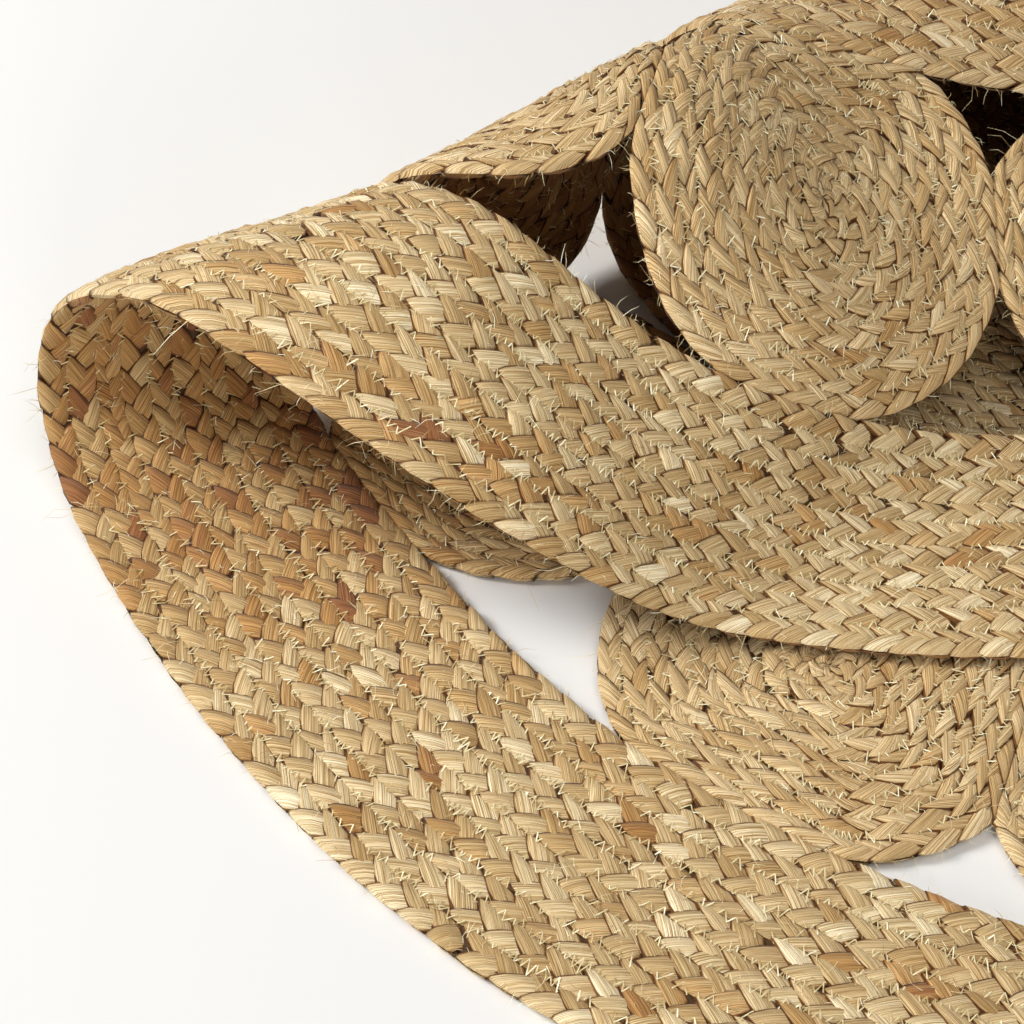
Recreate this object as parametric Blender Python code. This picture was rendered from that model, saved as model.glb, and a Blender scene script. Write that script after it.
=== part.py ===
"""A large round jute rug, folded over once: a border of plait, a ring of seventeen
coiled discs and a coiled centre piece, all sewn edge to edge.

Each piece is drawn flat, in the plane of the rug, as the round edge of a coil that is
pressed flat where it meets its neighbours. It is then cut along the lines on which the
rug bends, laid over the fold and given its thickness. Metres, +Z up. The front of the
rug lies flat on the floor, and the back is turned over it in one tall, loose loop
whose generators run along X.
"""

import math

import bmesh
import bpy
import numpy as np

# ---------------------------------------------------------------- driving dimensions
RUG_RADIUS = 0.900        # to the outside of the border
BORDER_INSIDE = 0.740     # radius of the border's inner edge
CENTRE_RADIUS = 0.494     # radius of the coiled centre piece
THICKNESS = 0.009         # of the flat plait
SEAM = 0.0006             # between two pieces that are sewn together

DISC_COUNT = 17
DISC_RADIUS = 0.124
DISC_CIRCLE = 0.618       # radius of the circle on which the discs' middles lie
FIRST_DISC = 155.2        # degrees, counter-clockwise from +X

# The fold. The rug lifts off the floor along y = LIFT_LINE, runs LOOP_LENGTH through the
# loop and comes down flat on its own front half.
LIFT_LINE = 0.032
LOOP_LENGTH = 0.692
LAYER_GAP = 0.003         # between the front half and the flap that lies on it
# Curvature (1/m) at even stations through the loop, from the lift line to where the flap
# is down. The one left open is whatever makes the whole a half turn.
BENDS = [0.0, 2.8, 15.1, 17.4, 12.1, -1.5, -0.4, 2.6, None, 0.0]
# Unevenness of the loop along the rug: x (m), share by which it stands higher than the
# plain loop, distance by which it leans back (m).
LOOP_UNEVEN = [
    (-0.90, -0.09, 0.010),
    (-0.80, 0.19, -0.023),
    (-0.70, 0.32, -0.056),
    (-0.60, 0.32, -0.051),
    (-0.50, 0.40, -0.046),
    (-0.35, 0.17, -0.007),
    (-0.15, 0.17, -0.028),
    (0.10, 0.06, -0.017),
    (0.35, -0.02, -0.003),
]
# Unevenness of the border: direction (degrees), outer edge out by, inner edge out by (m).
BORDER_UNEVEN = [
    (75, 0.000, 0.000),
    (90, 0.001, -0.002),
    (105, 0.009, 0.001),
    (120, 0.015, 0.006),
    (135, 0.009, 0.016),
    (150, -0.006, -0.006),
    (165, -0.004, -0.004),
    (180, 0.001, -0.008),
    (195, 0.010, 0.002),
    (210, 0.005, -0.001),
    (225, 0.002, -0.002),
    (240, -0.001, -0.001),
    (255, 0.000, 0.000),
]
# Unevenness of the centre piece: direction (degrees), edge out by (m).
CENTRE_UNEVEN = [
    (65, 0.000),
    (80, -0.006),
    (100, -0.005),
    (120, 0.004),
    (140, 0.010),
    (160, 0.007),
    (180, -0.011),
    (195, 0.000),
]
# Discs that differ from the rest: number, larger by (m), further out by (m), turned
# counter-clockwise by (degrees).
DISC_UNEVEN = {
    1: (-0.015, -0.011, 0.4),
    2: (0.017, 0.002, -0.5),
    3: (-0.003, 0.002, -2.6),
    4: (0.000, 0.000, -1.7),
    5: (0.000, 0.000, -0.9),
    14: (0.000, 0.000, 0.9),
    15: (0.000, 0.000, 1.9),
    16: (0.009, 0.008, 2.8),
    17: (0.003, -0.001, 0.0),
}

# How finely the solids are cut
EDGE_STEPS = 180          # round the border and the centre piece
DISC_STEPS = 36           # round a disc
MOST_TURN = 11.0          # degrees of bend between two cuts across the loop
LONGEST_STRIP = 0.075     # between two cuts where the loop hardly bends
CROSS_CUTS = [-0.80, -0.70, -0.60, -0.50, -0.38, -0.26, -0.14, 0.00, 0.15, 0.30]
PROFILE_STEPS = 693       # steps of the loop's worked-out profile
CORNER_STEP = 0.25        # degrees, for finding where a disc's seams begin
HALVINGS = 30             # for finding how far a disc reaches
TOUCH = 1e-6              # points nearer than this to a cut lie on it


def smooth(rows, column, at):
    """A smooth curve through one column of a table, level beyond both ends."""
    keys = np.array([row[0] for row in rows], float)
    values = np.array([row[column] for row in rows], float)
    slopes = np.gradient(values, keys)
    slopes[0] = slopes[-1] = 0.0
    at = np.clip(at, keys[0], keys[-1])
    i = int(np.clip(np.searchsorted(keys, at, side="right") - 1, 0, len(keys) - 2))
    span = keys[i + 1] - keys[i]
    t = (at - keys[i]) / span
    start = (1 + 2 * t) * (1 - t) ** 2 * values[i] + t * (1 - t) ** 2 * span * slopes[i]
    end = t * t * (3 - 2 * t) * values[i + 1] - t * t * (1 - t) * span * slopes[i + 1]
    return float(start + end)


# ---------------------------------------------------------------- outlines, laid flat
def border_outer(degrees):
    return RUG_RADIUS + smooth(BORDER_UNEVEN, 1, degrees % 360)


def border_inner(degrees):
    return BORDER_INSIDE + smooth(BORDER_UNEVEN, 2, degrees % 360)


def centre_edge(degrees):
    return CENTRE_RADIUS + smooth(CENTRE_UNEVEN, 1, degrees % 360)


def on_circle(radius, degrees):
    turn = math.radians(degrees)
    return radius * math.cos(turn), radius * math.sin(turn)


def disc_place(number):
    """(x, y, radius) of a disc's middle and of its edge where nothing presses on it."""
    number = (number - 1) % DISC_COUNT + 1
    larger, further, turned = DISC_UNEVEN.get(number, (0.0, 0.0, 0.0))
    degrees = FIRST_DISC - (number - 1) * 360 / DISC_COUNT + turned
    return *on_circle(DISC_CIRCLE + further, degrees), DISC_RADIUS + larger


def reach(number, degrees):
    """How far a disc reaches from its middle in a direction, and what stops it there: the
    end of its own coil, a neighbouring disc, or the border or centre piece."""
    x, y, own_radius = disc_place(number)
    dx, dy = on_circle(1.0, degrees)
    radius, stop = own_radius, "coil"
    for other in (number - 1, number + 1):
        ox, oy, other_radius = disc_place(other)
        apart = math.hypot(ox - x, oy - y)
        seam_at = (apart**2 + own_radius**2 - other_radius**2) / (2 * apart) - SEAM / 2
        toward = (dx * (ox - x) + dy * (oy - y)) / apart
        if toward > 0 and seam_at / toward < radius:
            radius, stop = seam_at / toward, "disc"

    def pressed(length):
        px, py = x + length * dx, y + length * dy
        out = math.hypot(px, py)
        around = math.degrees(math.atan2(py, px))
        return out > border_inner(around) - SEAM or out < centre_edge(around) + SEAM

    if pressed(radius):
        free, held = 0.0, radius
        for _ in range(HALVINGS):
            half = (free + held) / 2
            free, held = (free, half) if pressed(half) else (half, held)
        radius, stop = free, "edge"
    return radius, stop


def disc_outline(number):
    """Points round a disc: one at each corner, and even steps between them except along
    the straight seams to its neighbours."""
    x, y, _ = disc_place(number)
    fine = [i * CORNER_STEP for i in range(round(360 / CORNER_STEP))]
    stops = [reach(number, degrees)[1] for degrees in fine]
    corners = [fine[i] for i in range(len(fine)) if stops[i] != stops[i - 1]]
    step = 360 / DISC_STEPS
    around = list(corners)
    for i in range(DISC_STEPS):
        from_corners = [abs((i * step - corner + 180) % 360 - 180) for corner in corners]
        if min(from_corners) > step / 3 and reach(number, i * step)[1] != "disc":
            around.append(i * step)
    points = []
    for degrees in sorted(around):
        dx, dy = on_circle(reach(number, degrees)[0], degrees)
        points.append((x + dx, y + dy))
    return points


def edge_outline(edge):
    steps = [360 * i / EDGE_STEPS for i in range(EDGE_STEPS)]
    return [on_circle(edge(degrees), degrees) for degrees in steps]


# ---------------------------------------------------------------- the fold
def loop_profile():
    """Turn (radians), distance back and height of the plain loop at even steps."""
    at = np.linspace(0.0, LOOP_LENGTH, len(BENDS))
    bend = np.array([0.0 if curvature is None else curvature for curvature in BENDS])
    bend[BENDS.index(None)] = math.pi / at[1] - bend.sum()
    step = LOOP_LENGTH / PROFILE_STEPS
    middles = (np.arange(PROFILE_STEPS) + 0.5) * step
    turn = np.concatenate([[0.0], np.cumsum(np.interp(middles, at, bend) * step)])
    halfway = (turn[:-1] + turn[1:]) / 2
    back = np.concatenate([[0.0], np.cumsum(np.cos(halfway) * step)])
    height = np.concatenate([[0.0], np.cumsum(np.sin(halfway) * step)])
    run = np.linspace(0.0, 1.0, PROFILE_STEPS + 1)
    height += (THICKNESS + LAYER_GAP - height[-1]) * run**2
    return turn, back, height


TURN, BACK, HEIGHT = loop_profile()


def folded(x, y, above):
    """Where a point of the flat rug goes: above is its height over the middle of the
    plait, on the side that faces up before folding."""
    run = y - LIFT_LINE
    if run <= 0:
        return x, y, THICKNESS / 2 + above
    share = min(run / LOOP_LENGTH, 1.0)
    steps = np.arange(PROFILE_STEPS + 1) / PROFILE_STEPS
    turn = float(np.interp(share, steps, TURN))
    back = float(np.interp(share, steps, BACK))
    height = float(np.interp(share, steps, HEIGHT))
    arch = math.sin(math.pi * share)
    back += smooth(LOOP_UNEVEN, 2, x) * arch**2
    height *= 1 + smooth(LOOP_UNEVEN, 1, x) * arch
    beyond = max(run - LOOP_LENGTH, 0.0)
    back += beyond * math.cos(turn) - above * math.sin(turn)
    height += beyond * math.sin(turn) + above * math.cos(turn)
    return x, LIFT_LINE + back, THICKNESS / 2 + height


def fold_cuts():
    """Distances from the front edge at which the pieces are cut across the loop."""
    cuts = [0]
    for i in range(1, PROFILE_STEPS):
        turned = math.degrees(abs(TURN[i] - TURN[cuts[-1]]))
        run = (i - cuts[-1]) * LOOP_LENGTH / PROFILE_STEPS
        if turned > MOST_TURN or run > LONGEST_STRIP:
            cuts.append(i)
    cuts.append(PROFILE_STEPS)
    return [LIFT_LINE + i * LOOP_LENGTH / PROFILE_STEPS for i in cuts]


# ---------------------------------------------------------------- solids
def cut_flat(flat, point, normal, faces):
    shape = set(faces)
    for face in faces:
        shape.update(face.edges)
        shape.update(face.verts)
    bmesh.ops.bisect_plane(flat, geom=list(shape), dist=TOUCH, plane_co=point, plane_no=normal)


def solid(name, loops, material):
    """One piece of the rug. loops holds its outline or, for a ring, both its edges."""
    flat = bmesh.new()
    rings = [[flat.verts.new((x, y, 0.0)) for x, y in loop] for loop in loops]
    if len(rings) == 1:
        flat.faces.new(rings[0])
    else:
        outer, inner = rings
        for i in range(len(outer)):
            flat.faces.new((outer[i - 1], outer[i], inner[i], inner[i - 1]))
    for y in fold_cuts():
        cut_flat(flat, (0, y, 0), (0, 1, 0), list(flat.faces))
    for x in CROSS_CUTS:
        lifted = [f for f in flat.faces if LIFT_LINE < f.calc_center_median().y < LIFT_LINE + LOOP_LENGTH]
        cut_flat(flat, (x, 0, 0), (1, 0, 0), lifted)
    bmesh.ops.triangulate(flat, faces=list(flat.faces))

    shape = bmesh.new()
    under, over = {}, {}
    for vert in flat.verts:
        under[vert] = shape.verts.new(folded(vert.co.x, vert.co.y, -THICKNESS / 2))
        over[vert] = shape.verts.new(folded(vert.co.x, vert.co.y, THICKNESS / 2))
    for face in flat.faces:
        shape.faces.new([over[v] for v in face.verts])
        shape.faces.new([under[v] for v in reversed(face.verts)])
    for edge in flat.edges:
        if edge.is_boundary:
            start, end = edge.link_loops[0].vert, edge.link_loops[0].link_loop_next.vert
            shape.faces.new((under[start], under[end], over[end], over[start]))
    bmesh.ops.recalc_face_normals(shape, faces=list(shape.faces))
    bmesh.ops.triangulate(shape, faces=[f for f in shape.faces if len(f.verts) > 3])
    mesh = bpy.data.meshes.new(name)
    shape.to_mesh(mesh)
    flat.free()
    shape.free()
    mesh.materials.append(material)
    piece = bpy.data.objects.new(name, mesh)
    bpy.context.scene.collection.objects.link(piece)
    return piece


def jute(name, colour):
    material = bpy.data.materials.new(name)
    material.use_nodes = True
    shader = material.node_tree.nodes["Principled BSDF"]
    shader.inputs["Base Color"].default_value = (*colour, 1.0)
    shader.inputs["Roughness"].default_value = 0.9
    shader.inputs["Metallic"].default_value = 0.0
    return material


def stand_on_origin(pieces):
    """Puts the origin on the floor, under the middle of the folded rug's box."""
    points = np.concatenate([[v.co[:] for v in piece.data.vertices] for piece in pieces])
    low, high = points.min(axis=0), points.max(axis=0)
    middle = (low + high) / 2
    for piece in pieces:
        for vert in piece.data.vertices:
            vert.co.x -= middle[0]
            vert.co.y -= middle[1]
            vert.co.z -= low[2]
        piece.data.update()
    print("rug's middle at", [round(-float(c), 4) for c in (middle[0], middle[1], low[2])])
    print("size", [round(float(c), 4) for c in high - low])


def build():
    for old in list(bpy.data.objects):
        bpy.data.objects.remove(old, do_unlink=True)
    border_jute = jute("jute_border", (0.56, 0.40, 0.22))
    disc_jute = jute("jute_discs", (0.58, 0.43, 0.24))
    centre_jute = jute("jute_centre", (0.54, 0.39, 0.22))
    pieces = [solid("outer_ring", [edge_outline(border_outer), edge_outline(border_inner)], border_jute)]
    for number in range(1, DISC_COUNT + 1):
        pieces.append(solid(f"disc_{number:02d}", [disc_outline(number)], disc_jute))
    pieces.append(solid("centre_disc", [edge_outline(centre_edge)], centre_jute))
    stand_on_origin(pieces)
    for piece in pieces:
        print(piece.name, len(piece.data.polygons))
    print("triangles in all", sum(len(piece.data.polygons) for piece in pieces))


build()
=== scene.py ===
# %% [markdown]
# # A large round jute rug, folded over once
#
# Rugs like this are made of one thing only: a flat cord, plaited from three strands of
# jute. The maker winds it into coils and sews each round to the last with a zigzag
# stitch. Here ten rounds make the border, seventeen small coils make a ring of discs,
# and one big coil fills the middle. The lesson follows the maker's order: the shape in
# which the rug lies, the route of the plait, the cloth, the strands, the thread and the
# stray fibres, then the finishes, the floor, the light and the camera.

import math

import bmesh
import bpy
import numpy as np
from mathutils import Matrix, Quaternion, Vector


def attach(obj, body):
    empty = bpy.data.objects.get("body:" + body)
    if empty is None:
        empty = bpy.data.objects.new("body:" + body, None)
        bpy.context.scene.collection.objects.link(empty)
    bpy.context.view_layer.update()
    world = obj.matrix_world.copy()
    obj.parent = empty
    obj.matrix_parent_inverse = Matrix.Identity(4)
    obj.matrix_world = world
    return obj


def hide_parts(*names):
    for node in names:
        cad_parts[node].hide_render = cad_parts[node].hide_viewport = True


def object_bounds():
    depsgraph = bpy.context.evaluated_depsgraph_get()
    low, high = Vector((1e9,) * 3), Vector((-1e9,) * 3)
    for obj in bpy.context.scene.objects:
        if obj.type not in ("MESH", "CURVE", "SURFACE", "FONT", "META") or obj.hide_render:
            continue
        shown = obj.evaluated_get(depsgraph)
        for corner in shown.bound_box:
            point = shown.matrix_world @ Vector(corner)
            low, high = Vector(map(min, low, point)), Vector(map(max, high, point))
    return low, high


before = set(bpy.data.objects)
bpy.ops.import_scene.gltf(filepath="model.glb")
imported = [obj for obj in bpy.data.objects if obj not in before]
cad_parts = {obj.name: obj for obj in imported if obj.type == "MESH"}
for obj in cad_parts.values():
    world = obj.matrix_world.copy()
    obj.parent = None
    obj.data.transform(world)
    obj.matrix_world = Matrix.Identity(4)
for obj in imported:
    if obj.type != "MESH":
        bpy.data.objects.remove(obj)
CAD_LOW, CAD_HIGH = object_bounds()
print("solids:", len(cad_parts), "box", CAD_LOW[:], CAD_HIGH[:])

# %% [markdown]
# ## The flat rug
#
# A coil is easiest to think of while it lies flat. Every piece has an inner and an outer
# edge, given as a distance from the piece's own middle in each direction. They are not
# quite circles: the border wanders by a few millimetres, and a disc is pressed flat
# where its neighbours push against it. These are the sizes of the solids in the frame,
# so the cloth made here lies where they lie.

# %% Sizes of the flat rug, in metres and degrees
RUG_RADIUS = 0.900
BORDER_INSIDE = 0.740
CENTRE_RADIUS = 0.494
THICKNESS = 0.009
SEAM = 0.0006             # between two pieces that are sewn together
DISC_COUNT = 17
DISC_RADIUS = 0.124
DISC_CIRCLE = 0.618       # radius of the circle on which the discs' middles lie
FIRST_DISC = 155.2        # direction of the first disc

# direction, outer edge out by, inner edge out by
BORDER_UNEVEN = [
    (75, 0.000, 0.000),
    (90, 0.001, -0.002),
    (105, 0.009, 0.001),
    (120, 0.015, 0.006),
    (135, 0.009, 0.016),
    (150, -0.006, -0.006),
    (165, -0.004, -0.004),
    (180, 0.001, -0.008),
    (195, 0.010, 0.002),
    (210, 0.005, -0.001),
    (225, 0.002, -0.002),
    (240, -0.001, -0.001),
    (255, 0.000, 0.000),
]
# direction, edge out by
CENTRE_UNEVEN = [
    (65, 0.000),
    (80, -0.006),
    (100, -0.005),
    (120, 0.004),
    (140, 0.010),
    (160, 0.007),
    (180, -0.011),
    (195, 0.000),
]
# disc number: larger by, further out by, turned counter-clockwise by
DISC_UNEVEN = {
    1: (-0.015, -0.011, 0.4),
    2: (0.017, 0.002, -0.5),
    3: (-0.003, 0.002, -2.6),
    4: (0.000, 0.000, -1.7),
    5: (0.000, 0.000, -0.9),
    14: (0.000, 0.000, 0.9),
    15: (0.000, 0.000, 1.9),
    16: (0.009, 0.008, 2.8),
    17: (0.003, -0.001, 0.0),
}
print("rug", 2 * RUG_RADIUS, "m across,", DISC_COUNT, "discs about", 2 * DISC_RADIUS, "m across")

# %% [markdown]
# ## Uneven edges
#
# A hand-wound piece is never quite round. A few measured directions, joined by a smooth
# curve, give an edge that swells and dips as slowly as the real one. Noise would be
# quicker to set up, but then the dips would not lie where the solids have them.

# %% Edges of the border and the centre piece
def smooth(rows, column, at):
    """A smooth curve through one column of a table, level beyond both ends."""
    keys = np.array([row[0] for row in rows], float)
    values = np.array([row[column] for row in rows], float)
    slopes = np.gradient(values, keys)
    slopes[0] = slopes[-1] = 0.0
    at = np.clip(at, keys[0], keys[-1])
    i = np.clip(np.searchsorted(keys, at, side="right") - 1, 0, len(keys) - 2)
    span = keys[i + 1] - keys[i]
    t = (at - keys[i]) / span
    start = (1 + 2 * t) * (1 - t) ** 2 * values[i] + t * (1 - t) ** 2 * span * slopes[i]
    end = t * t * (3 - 2 * t) * values[i + 1] - t * t * (1 - t) * span * slopes[i + 1]
    return start + end


def border_outer(angle):
    return RUG_RADIUS + smooth(BORDER_UNEVEN, 1, np.degrees(angle) % 360)


def border_inner(angle):
    return BORDER_INSIDE + smooth(BORDER_UNEVEN, 2, np.degrees(angle) % 360)


def centre_edge(angle):
    return CENTRE_RADIUS + smooth(CENTRE_UNEVEN, 1, np.degrees(angle) % 360)


print("border at the left:", round(float(border_inner(math.pi)), 3), "to",
      round(float(border_outer(math.pi)), 3), "m from the middle")

# %% [markdown]
# ## Discs that press on each other
#
# A disc is a round coil, but it is sewn to its neighbours, to the border and to the centre
# piece over a few centimetres each, and there its edge is flat. So its reach is worked
# out in every direction as the circle, cut off where a neighbour begins. Only the
# three-cornered gaps between the pieces stay open.

# %% Discs and how far they reach
def disc_place(number):
    """Middle (x, y) and radius of a disc where nothing presses on it."""
    number = (number - 1) % DISC_COUNT + 1
    larger, further, turned = DISC_UNEVEN.get(number, (0.0, 0.0, 0.0))
    turn = math.radians(FIRST_DISC - (number - 1) * 360 / DISC_COUNT + turned)
    out = DISC_CIRCLE + further
    return out * math.cos(turn), out * math.sin(turn), DISC_RADIUS + larger


DIRECTIONS = np.linspace(0.0, 2 * math.pi, 721)
HALVINGS = 24             # steps in the search for the edge that presses on a disc


def disc_reach(number):
    """How far a disc reaches from its middle in each of the DIRECTIONS: the circle of its
    own coil, cut off by its two neighbours, the border and the centre piece."""
    x, y, radius = disc_place(number)
    dx, dy = np.cos(DIRECTIONS), np.sin(DIRECTIONS)
    reach = np.full(len(DIRECTIONS), radius)
    for other in (number - 1, number + 1):
        ox, oy, other_radius = disc_place(other)
        apart = math.hypot(ox - x, oy - y)
        seam_at = (apart**2 + radius**2 - other_radius**2) / (2 * apart) - SEAM / 2
        toward = (dx * (ox - x) + dy * (oy - y)) / apart
        faces_it = toward > seam_at / radius
        reach[faces_it] = np.minimum(reach[faces_it], seam_at / toward[faces_it])
    free, held = np.zeros(len(DIRECTIONS)), reach
    for _ in range(HALVINGS):
        half = (free + held) / 2
        px, py = x + half * dx, y + half * dy
        out, around = np.hypot(px, py), np.arctan2(py, px)
        clear = (out < border_inner(around) - SEAM) & (out > centre_edge(around) + SEAM)
        free, held = np.where(clear, half, free), np.where(clear, held, half)
    return free


print("first disc reaches", disc_reach(1).min().round(4), "to", disc_reach(1).max().round(4))

# %% [markdown]
# ## The fold
#
# Cloth bends far more easily than it stretches, so a folded rug is a curved sheet that
# can be unrolled again without tearing. One way to make it is a cloth simulation. But
# this fold is already known from the solids in the frame, and a formula keeps every
# strand exactly on it. The front half lies on the floor. Behind the lift line the rug
# bends up and over in a tall loose loop, which comes down on its own front half. The
# bend is a table of curvature along the loop; summing it up gives direction, and
# summing up the direction gives the shape.

# %% The curve of the loop
LIFT_LINE = 0.032         # y on the flat rug where it leaves the floor
LOOP_LENGTH = 0.692       # cloth in the loop, from there to where the flap lies down
LAYER_GAP = 0.003         # between the flap and the front half
# Curvature of the plain loop at even steps; None is worked out, so that it turns halfway.
BENDS = [0.0, 2.8, 15.1, 17.4, 12.1, -1.5, -0.4, 2.6, None, 0.0]
PROFILE_STEPS = 693       # about one a millimetre


def loop_profile():
    """Turn (radians), distance back and height of the plain loop at even steps."""
    at = np.linspace(0.0, LOOP_LENGTH, len(BENDS))
    bend = np.array([0.0 if curvature is None else curvature for curvature in BENDS])
    bend[BENDS.index(None)] = math.pi / at[1] - bend.sum()
    step = LOOP_LENGTH / PROFILE_STEPS
    middles = (np.arange(PROFILE_STEPS) + 0.5) * step
    turn = np.concatenate([[0.0], np.cumsum(np.interp(middles, at, bend) * step)])
    halfway = (turn[:-1] + turn[1:]) / 2
    back = np.concatenate([[0.0], np.cumsum(np.cos(halfway) * step)])
    height = np.concatenate([[0.0], np.cumsum(np.sin(halfway) * step)])
    run = np.linspace(0.0, 1.0, PROFILE_STEPS + 1)
    height += (THICKNESS + LAYER_GAP - height[-1]) * run**2
    return turn, back, height


TURN, BACK, HEIGHT = loop_profile()
STEPS = np.linspace(0.0, 1.0, PROFILE_STEPS + 1)
print("loop", round(float(HEIGHT.max() * 1000)), "mm high, and it comes back by",
      round(float((BACK.max() - BACK[-1]) * 1000)), "mm")

# %% [markdown]
# ## From flat to folded
#
# One function carries any point of the flat rug to where it lies. It finds how far along
# the loop the point is, takes the direction and the place of the loop there, and steps
# off the cloth by the point's height over it. All that follows is drawn flat and goes
# through it last, so strands, stitches and fibres bend with the cloth. The loop isn't
# the same all along the fold: at the left it stands higher and leans back.

# %% Folding
# x, share by which the loop stands higher, distance by which it leans back
LOOP_UNEVEN = [
    (-0.90, -0.09, 0.010),
    (-0.80, 0.19, -0.023),
    (-0.70, 0.32, -0.056),
    (-0.60, 0.32, -0.051),
    (-0.50, 0.40, -0.046),
    (-0.35, 0.17, -0.007),
    (-0.15, 0.17, -0.028),
    (0.10, 0.06, -0.017),
    (0.35, -0.02, -0.003),
]
# The frame's origin is under the middle of the folded rug, so the rug's own middle is off.
MIDDLE_X = CAD_HIGH.x - RUG_RADIUS
MIDDLE_Y = CAD_LOW.y + RUG_RADIUS


def folded(x, y, above):
    """Where points of the flat rug go: above is their height over the middle of the
    plait, on the side that faces up before folding. One row of three for each point."""
    run = np.maximum(y - LIFT_LINE, 0.0)
    share = np.minimum(run / LOOP_LENGTH, 1.0)
    turn = np.interp(share, STEPS, TURN)
    arch = np.sin(np.pi * share)
    back = np.interp(share, STEPS, BACK) + smooth(LOOP_UNEVEN, 2, x) * arch**2
    height = np.interp(share, STEPS, HEIGHT) * (1 + smooth(LOOP_UNEVEN, 1, x) * arch)
    beyond = np.maximum(run - LOOP_LENGTH, 0.0)
    back += beyond * np.cos(turn) - above * np.sin(turn)
    height += beyond * np.sin(turn) + above * np.cos(turn)
    forward = np.where(y > LIFT_LINE, LIFT_LINE + back, y)
    return np.stack([x + MIDDLE_X, forward + MIDDLE_Y, THICKNESS / 2 + height], axis=-1)


def under_flap(x, y, margin):
    """True where two layers lie on each other, further than margin from the flap's edge."""
    front = np.where(y > LIFT_LINE, y, 2 * (LIFT_LINE + LOOP_LENGTH) + BACK[-1] - LOOP_LENGTH - y)
    return (front > LIFT_LINE + LOOP_LENGTH + margin) & (np.hypot(x, front) < RUG_RADIUS - margin)


print("rug's middle at", round(MIDDLE_X, 4), round(MIDDLE_Y, 4), "and its edge under the flap at",
      folded(np.zeros(1), np.full(1, RUG_RADIUS), np.zeros(1)).round(3)[0])

# %% [markdown]
# ## The route of the plait
#
# Each piece of the rug is one plait wound round and round. A point on it is given by
# its turns, counted from the start of the plait, and by how far across the coil it is,
# counted in plait widths. After each turn the plait lies one width further out, so a
# coil is a spiral; its two ends are drawn out thin over the last part of a turn, and
# then its edges are round. Rings would be simpler to draw, but every ring closes on
# itself, which no coil does.

# %% One coil
TAPER = 0.17              # part of a turn over which an end of the plait thins out
FINE_TURN = 240           # stations in one turn of a plait's measured length
TIGHT_START = 0.28        # length of the very first loops of a coil against the others
TIGHT_GROWS = 0.20        # by which that share grows in each turn


class Coil:
    """One piece of the rug: a plait wound from its inner to its outer edge."""

    def __init__(self, name, slot, middle, inside, outside, rounds, plait, pitch, start):
        self.name, self.slot = name, slot
        self.middle = middle          # x, y on the flat rug
        self.inside = inside          # distance to the inner edge by direction, or None
        self.outside = outside        # distance to the outer edge by direction
        self.rounds = rounds
        self.plait = plait            # width of the plait
        self.pitch = pitch            # from one loop of strand to the next in its row
        self.start = start            # direction in which the plait starts and ends
        self.measure()

    def outline(self, part):
        """Inner and outer edge of the coil in plait widths, at a part of a turn."""
        thinning = (1 - TAPER) * (1 - part) / TAPER
        outer = self.rounds - 0.5 + np.where(part < 1 - TAPER, part, thinning)
        if self.inside is None:
            return np.zeros_like(outer), outer
        growing = 0.5 + (TAPER - 1) * part / TAPER
        return np.where(part > TAPER, part - 0.5, growing), outer

    def split(self, turns):
        round_number = np.clip(np.floor(turns), 0, self.rounds - 1)
        return round_number, np.clip(turns - round_number, 0.0, 1.0)

    def edges(self, turns):
        """Inner and outer edge of the plait itself at these turns, in plait widths."""
        round_number, part = self.split(turns)
        inner, outer = self.outline(part)
        low = np.where(round_number == 0, inner, turns - 0.5)
        high = np.where(round_number == self.rounds - 1, outer, turns + 0.5)
        return low, high

    def flat(self, turns, across):
        """x and y on the flat rug."""
        part = self.split(turns)[1]
        inner, outer = self.outline(part)
        angle = self.start + 2 * math.pi * part
        near = 0.0 if self.inside is None else self.inside(angle)
        out = near + (self.outside(angle) - near) * (across - inner) / (outer - inner)
        return self.middle[0] + out * np.cos(angle), self.middle[1] + out * np.sin(angle)

    def measure(self):
        """Length of the plait up to each of many turns along its middle."""
        self.turns = np.linspace(0.0, self.rounds, self.rounds * FINE_TURN + 1)
        low, high = self.edges(self.turns)
        x, y = self.flat(self.turns, (low + high) / 2)
        steps = np.hypot(np.diff(x), np.diff(y))
        self.lengths = np.concatenate([[0.0], np.cumsum(steps)])
        self.length = float(self.lengths[-1])

    def turns_at(self, length):
        return np.interp(length, self.lengths, self.turns)

    def length_at(self, turns):
        return np.interp(turns, self.turns, self.lengths)

    def tightness(self, turns):
        """Length of a loop against the usual: the start of a coil is wound very tight."""
        if self.inside is not None:
            return np.ones_like(turns)
        return np.clip(TIGHT_START + TIGHT_GROWS * turns, TIGHT_START, 1.0)


plain_disc = Coil("plain", "jute_discs", (0.0, 0.0), None, lambda angle: DISC_RADIUS + 0.0 * angle,
                  10, 0.0125, 0.0250, 0.0)
print("a plain disc takes", round(plain_disc.length, 2), "m of plait")

# %% [markdown]
# ## The nineteen coils of this rug
#
# The border's plait is the widest and is plaited close. The discs' plait is narrower and
# looser, so its loops are drawn out long. Each coil ends where its end shows least: the
# discs' ends face the middle of the rug.

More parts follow.
